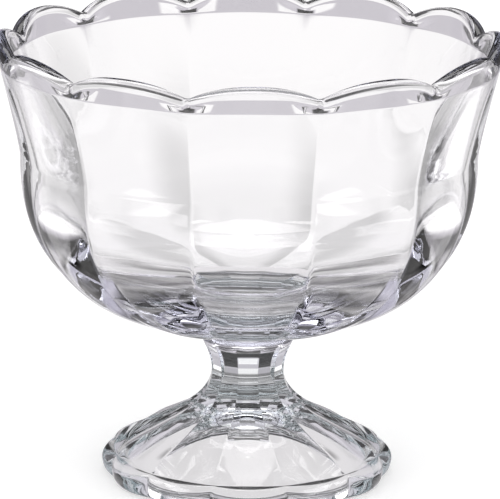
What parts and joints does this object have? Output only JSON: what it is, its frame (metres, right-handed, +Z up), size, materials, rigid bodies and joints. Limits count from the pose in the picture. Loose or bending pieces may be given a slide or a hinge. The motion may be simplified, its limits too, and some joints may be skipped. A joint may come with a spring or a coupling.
{
  "type": "dessert cup",
  "caption": "Footed pressed-glass dessert cup: lobed bowl with a petal rim on a short faceted stem and a flared, hollow foot.",
  "frame": {"origin": "centre of the ring that the foot stands on, on the cup's axis", "axes": "+Z up along the cup's axis, -Y towards the viewer through the centre of a lobe"},
  "size_m": [0.1038, 0.1038, 0.0922],
  "materials": {
    "bowl_glass": "fire-polished clear soda-lime glass, smooth inside and out",
    "foot_glass": "fire-polished clear soda-lime glass, faceted flank and lobed flange"
  },
  "bodies": {
    "root": {"bowl": "bowl_glass", "foot": "foot_glass"}
  },
  "joints": []
}
